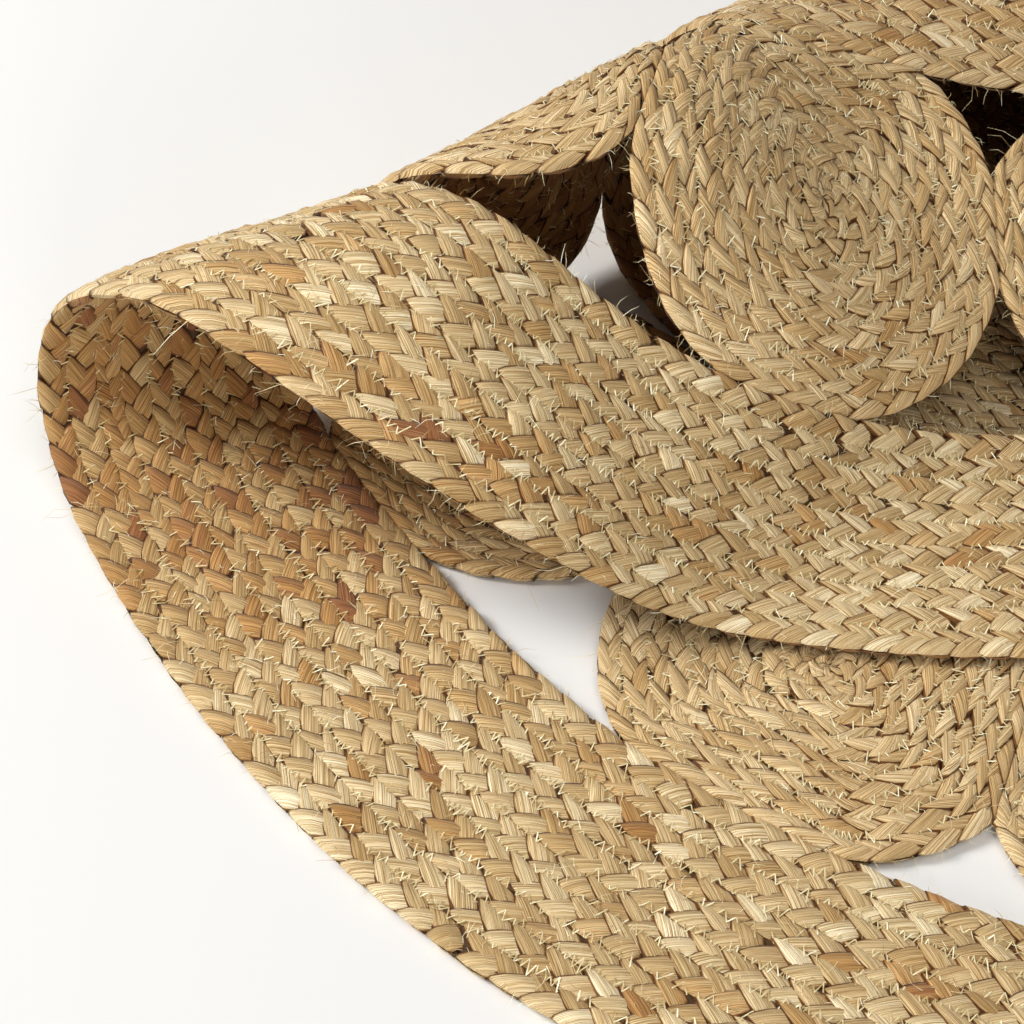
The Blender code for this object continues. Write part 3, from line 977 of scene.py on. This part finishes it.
def stitches(coil, side, rng):
    """Points, faces, UVs, tones and seeds of the stitches on one side of a coil."""
    last = float(coil.length_at(np.array(coil.rounds - 1.0)))
    first = 0.0 if coil.inside is not None else float(coil.length_at(np.array(FIRST_STITCH)))
    enough = int(1.3 * 2 * (last - first) / STITCH)
    steps = STITCH / 2 * np.exp(uneven_run(rng, enough, STITCH_WANDERS, 12))
    corners = first + np.cumsum(steps)
    corners = corners[corners < last]
    corners = corners + rng.normal(0, NEEDLE_SLIPS, len(corners))
    turns = coil.turns_at(corners)
    reach = STITCH_REACH / coil.plait * np.where(np.arange(len(corners)) % 2, 1.0, -1.0)
    spot = coil.edges(turns)[1] + reach * (1 + rng.normal(0, REACH_VARIES, len(corners)))
    x, y = coil.flat(turns, spot)
    height = THREAD_HEIGHT + rng.normal(0, THREAD_LIFTS, len(corners))
    points = folded(x, y, side * height)
    normal = folded(x, y, side * (height + 0.001)) - points
    start, end = points[:-1], points[1:]
    inside_fold = np.clip((y[:-1] - LIFT_LINE + 0.08) / 0.22, 0.0, 1.0) * (side == FRONT)
    shown = rng.random(len(start)) < ON_TOP[side] - FOLD_HIDES * inside_fold
    shown &= ~under_flap(x[:-1], y[:-1], HIDDEN_BY) | (side == BACK_SIDE)
    if side == BACK_SIDE:
        shown &= y[:-1] > LIFT_LINE - BEFORE_LIFT
    start, end, normal = start[shown], end[shown], normal[:-1][shown]
    # Each stitch is a ribbon of four points that lies flat on the rug.
    sideways = np.cross(end - start, normal)
    sideways *= THREAD / 2 / np.maximum(np.linalg.norm(sideways, axis=1, keepdims=True), 1e-9)
    ribbons = np.stack([start - sideways, start + sideways, end - sideways, end + sideways], axis=1)
    count = len(start)
    uv = np.tile([[0.0, 0.0], [0.0, 1.0], [3.0, 0.0], [3.0, 1.0]], (count, 1))
    return {
        "points": ribbons.reshape(-1, 3),
        "quads": patch_quads(count, 2, 2, np.zeros(count, bool)),
        "uv": uv,
        # In the fold the thread gets a browner tone: painted shade.
        "tone": np.repeat(rng.normal(0.20, 0.20, count) + FOLD_SHADE_ON_THREAD * inside_fold[shown], 4),
        "seed": np.repeat(rng.random(count), 4),
        "edge": np.zeros(4 * count),
    }


print("the border's seams take about", round(2 * coils[0].length / STITCH), "stitches a side")

# %% [markdown]
# ## Stray fibres
#
# Jute is hairy. Everywhere short fibres have worked loose and lie on the surface, and a
# few long ones stand off the edges. They are what tells the eye that this is plant
# fibre and not moulded plastic, so they are real geometry: thin ribbons, bent once.

# %% Where fibres start
FIBRE = 0.00028           # width of a stray fibre
FIBRES = {FRONT: 190, BACK_SIDE: 250}  # on each metre of plait
RIM_HAIRS = 60            # on each metre of rim
FIBRE_HEIGHT = 0.0041     # over the middle of the plait, where a fibre lies down
CLEAR_OF_FLOOR = 0.07     # from the lift line, where the underside has room for fibres
HAIR_FAN = 0.8            # radians by which a hair of the rim strays from straight out
CURL = 0.7                # radians by which a fibre turns over its length
RISES = (0.0, 1.0, 0.45)  # share of its lift at the root, the bend and the tip
NARROWS = (1.0, 1.0, 0.35)  # share of its width at the same three stations


def fibre_roots(coil, side, rng):
    """Where fibres start on the flat rug, their heading, length, height and lift. The
    last ones of each list stand out over the rim of the piece."""
    count = int(coil.length * FIBRES[side])
    turns = coil.turns_at(rng.uniform(0, coil.length, count))
    low, high = coil.edges(turns)
    x, y = coil.flat(turns, low + (high - low) * rng.random(count))
    heading = rng.uniform(0, 2 * math.pi, count)
    long = 0.0035 + rng.gamma(2.0, 0.0018, count)
    height = np.full(count, FIBRE_HEIGHT)
    lift = rng.uniform(0.0005, 0.0022, count)
    # The rim's hairs: the turn where it starts, which edge it is and where it faces.
    rims = [(coil.rounds - 1, 1, 0.0)]
    if coil.inside is not None:
        rims.append((0, 0, math.pi))
    for first, edge, outward in rims:
        around = float(coil.length_at(np.array(first + 1.0)) - coil.length_at(np.array(float(first))))
        hairs = int(around * RIM_HAIRS)
        turns = first + rng.random(hairs)
        hair_x, hair_y = coil.flat(turns, coil.edges(turns)[edge])
        x, y = np.concatenate([x, hair_x]), np.concatenate([y, hair_y])
        away = coil.start + 2 * math.pi * turns + outward + rng.normal(0, HAIR_FAN, hairs)
        heading = np.concatenate([heading, away])
        long = np.concatenate([long, 0.003 + rng.gamma(1.3, 0.0042, hairs)])
        height = np.concatenate([height, rng.uniform(-0.001, 0.002, hairs)])
        lift = np.concatenate([lift, rng.uniform(0.0, 0.002, hairs)])
    return x, y, heading, long, height, lift


print("a plain disc has about", len(fibre_roots(plain_disc, FRONT, np.random.default_rng(0))[0]),
      "fibres on its face and rim")

# %% [markdown]
# ## Bent ribbons
#
# A loose fibre springs up from the plait, turns a little and comes down again. Two faces
# are enough for that, and the second one narrows toward the tip. Ribbons show from both
# sides and cost less than any hair system.

# %% Fibres
def fibres(coil, side, rng):
    """Points, faces, UVs, tones and seeds of stray fibres on one side of a coil."""
    x, y, heading, long, height, lift = fibre_roots(coil, side, rng)
    shown = ~under_flap(x, y, 0.02) | (side == BACK_SIDE)
    if side == BACK_SIDE:
        shown &= y > LIFT_LINE + CLEAR_OF_FLOOR
    x, y, heading, long, height, lift = [values[shown] for values in (x, y, heading, long, height, lift)]
    count = len(x)
    bend = rng.normal(0, CURL, count)
    steps = []
    for station in range(len(RISES)):
        turn = heading + bend * station / 2
        above = side * (height + lift * RISES[station])
        here = folded(x, y, above)
        out = folded(x, y, above + side * 0.001) - here
        ahead = folded(x + 0.001 * np.cos(turn), y + 0.001 * np.sin(turn), above) - here
        wide = np.cross(ahead, out)
        wide *= FIBRE / 2 / np.maximum(np.linalg.norm(wide, axis=1, keepdims=True), 1e-9)
        wide *= NARROWS[station]
        steps.append(np.stack([here - wide, here + wide], axis=1))
        x = x + long / 2 * np.cos(turn)
        y = y + long / 2 * np.sin(turn)
    points = np.stack(steps, axis=1)
    uv = np.tile([[0.0, 0.0], [0.0, 1.0], [1.0, 0.0], [1.0, 1.0], [2.0, 0.0], [2.0, 1.0]], (count, 1))
    return {
        "points": points.reshape(-1, 3),
        "quads": patch_quads(count, 3, 2, np.zeros(count, bool)),
        "uv": uv,
        "tone": np.repeat(rng.normal(0.10, 0.2, count), 6),
        "seed": np.repeat(rng.random(count), 6),
        "edge": np.zeros(6 * count),
    }


print("fibres about", round(sum(coil.length for coil in coils) * sum(FIBRES.values()) / 1000),
      "thousand, less those out of sight")

# %% [markdown]
# ## Putting the pieces together
#
# Every piece of the rug has the same four layers: cloth, strands, thread and fibres.
# They could all go into one mesh, but as pieces of their own each layer keeps its own
# finish, and none gets too large to handle.

# %% One layer of a piece
def joined(parts):
    """One set of arrays from several."""
    offset, quads = 0, []
    for part in parts:
        quads.append(part["quads"] + offset)
        offset += len(part["points"])
    together = {key: np.concatenate([part[key] for part in parts]) for key in parts[0] if key != "quads"}
    together["quads"] = np.concatenate(quads)
    return together


def piece_from(name, parts, material):
    """One joined mesh of strands, thread or fibres, which moves with the rug's body."""
    arrays = joined(parts)
    numbers = {key: arrays[key] for key in ("tone", "seed", "edge")}
    piece = mesh_piece(name, arrays["points"], arrays["quads"].tolist(),
                       arrays["uv"][arrays["quads"].ravel()], numbers, material)
    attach(piece, "root")
    return piece


def flat_size(coil):
    """Length, width and area of the piece before it is folded. A ring is given as the
    band it is before its ends meet."""
    steps = np.diff(DIRECTIONS)
    reach = coil.outside(DIRECTIONS)
    area = float(np.sum(reach[:-1] ** 2 * steps) / 2)
    if coil.inside is None:
        across = 2 * float(np.max(reach))
        return (across, across), area
    area -= float(np.sum(coil.inside(DIRECTIONS[:-1]) ** 2 * steps) / 2)
    width = coil.rounds * coil.plait
    return (area / width, width), area


print("border laid flat: length and width, area", flat_size(coils[0]))

# %% [markdown]
# ## All pieces
#
# The cloth stands for the solid in the frame, which is hidden, and the other layers are
# pieces that go with it on the rug's body. Every piece starts its own row of random
# numbers, so a change to one leaves all others as they are.

# %% Build all pieces
FIRST_SEED = 1700
faces_made = 0
for index, coil in enumerate(coils):
    rng = np.random.default_rng(FIRST_SEED + index)
    material = strand_materials[coil.slot]
    cloth = ground_sheet(coil)
    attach(cloth, "root")
    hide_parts(coil.name)
    places = crossings(coil, rng)
    face, back = [strand_patches(coil, side, places, rng) for side in (FRONT, BACK_SIDE)]
    extras = [
        piece_from(f"{coil.name}_strands_face", [face], material),
        piece_from(f"{coil.name}_strands_back", [back], material),
        piece_from(f"{coil.name}_seams", [stitches(coil, FRONT, rng), stitches(coil, BACK_SIDE, rng)],
                   thread_material),
        piece_from(f"{coil.name}_fibres", [fibres(coil, FRONT, rng), fibres(coil, BACK_SIDE, rng)],
                   fibre_material),
    ]
    flat, area = flat_size(coil)
    made = [len(piece.data.polygons) for piece in (cloth, *extras)]
    faces_made += sum(made)
    print(coil.name, "faces: cloth, face strands, back strands, thread, fibres", made)
print("triangles about", 2 * faces_made)

# %% [markdown]
# ## Floor
#
# The rug was shown on a plain white sweep. The floor is a large plane with a barely
# uneven white finish, because a perfectly even one looks like empty paper.

# %% Floor
def floor_material():
    material = bpy.data.materials.new("pale_floor")
    material.use_nodes = True
    tree = material.node_tree
    noise = add_node(tree, "ShaderNodeTexNoise")
    noise.inputs["Scale"].default_value = 1.5
    spots = range_node(tree, noise.outputs["Fac"], 0.3, 0.7, 0.0, 1.0)
    colour = mix_colour(tree, spots, (0.83, 0.83, 0.825, 1), (0.85, 0.85, 0.845, 1))
    wire(tree, colour, tree.nodes["Principled BSDF"].inputs["Base Color"])
    tree.nodes["Principled BSDF"].inputs["Roughness"].default_value = 0.7
    tree.nodes["Principled BSDF"].inputs["Specular IOR Level"].default_value = 0.1
    return material


FLOOR_SIZE = 40.0
bpy.ops.mesh.primitive_plane_add(size=FLOOR_SIZE, location=(0, 0, -0.0005))
floor = bpy.context.object
floor.name = "floor"
floor.data.materials.append(floor_material())
print("floor", FLOOR_SIZE, "m wide")

# %% [markdown]
# ## Light
#
# Three lights do the work of a studio. A key light from behind on the left rakes over
# the plait and brings out every loop. A white ceiling fills the shadows evenly, and a
# weak, low light in front opens the mouth of the fold. The white room around adds very
# little, so the space deep in the fold stays dark.

# %% Lights
world = bpy.data.worlds.new("white_room")
bpy.context.scene.world = world
world.use_nodes = True
world.node_tree.nodes["Background"].inputs["Color"].default_value = (1.0, 1.0, 1.0, 1)
world.node_tree.nodes["Background"].inputs["Strength"].default_value = 0.135


def add_lamp(name, kind, place, aim, power):
    """A warm white lamp at a place, turned so that it shines toward aim."""
    lamp = bpy.data.lights.new(name, kind)
    lamp.energy = power
    lamp.color = (1.0, 0.985, 0.96)
    holder = bpy.data.objects.new(name, lamp)
    holder.location = place
    direction = np.array(aim) - np.array(place)
    heading = math.atan2(direction[0], -direction[1])
    tilt = math.atan2(math.hypot(direction[0], direction[1]), -direction[2])
    holder.rotation_euler = (tilt, 0.0, heading + math.pi)
    bpy.context.scene.collection.objects.link(holder)
    return lamp


def soft_light(name, place, aim, size, power):
    """A round soft box of this size (metres) and power (watts)."""
    lamp = add_lamp(name, "AREA", place, aim, power)
    lamp.shape = "DISK"
    lamp.size = size


def ceiling_light(name, place, aim, spread, power):
    """A white ceiling as wide as the room: the same everywhere on the floor. Its spread
    is in degrees and its power in watts per square metre."""
    lamp = add_lamp(name, "SUN", place, aim, power)
    lamp.angle = math.radians(spread)


ceiling_light("overhead", (-0.5, -0.9, 3.0), (-0.5, 0.0, 0.0), 50.0, 0.90)
soft_light("key", (-3.2, 3.0, 3.0), (-0.5, 0.0, 0.0), 1.8, 222.0)
soft_light("front", (-2.2, -3.2, 1.0), (-0.7, 0.1, 0.1), 2.0, 60.0)

# %% [markdown]
# ## Camera
#
# The camera looks down on the left end of the fold through a long lens. Its place was
# found by laying the rug's outlines over each other until they met, and is given here by
# the spot it looks at, its direction and its distance from there.

# %% Camera
LOOKS_AT = (-0.6639, -0.0118, 0.0)   # from the rug's own middle
CAMERA_DISTANCE = 1.450
HEADING = math.radians(37.69)        # from the rug's back towards its right
LOOKS_DOWN = math.radians(47.16)
ROLL = math.radians(2.98)
LENS = 83.2

camera = bpy.data.objects.new("camera", bpy.data.cameras.new("camera"))
bpy.context.scene.collection.objects.link(camera)
forward = np.array([math.sin(HEADING) * math.cos(LOOKS_DOWN), math.cos(HEADING) * math.cos(LOOKS_DOWN),
                    -math.sin(LOOKS_DOWN)])
camera.location = np.array(LOOKS_AT) + (MIDDLE_X, MIDDLE_Y, 0.0) - CAMERA_DISTANCE * forward
camera.rotation_mode = "QUATERNION"
aim = Vector(forward).to_track_quat("-Z", "Y")
camera.rotation_quaternion = aim @ Quaternion((0, 0, 1), ROLL)
camera.data.lens = LENS
camera.data.sensor_width = 36.0
camera.data.clip_start = 0.05
bpy.context.scene.camera = camera
bpy.context.scene.view_settings.view_transform = "Standard"
print("camera at", camera.location[:])
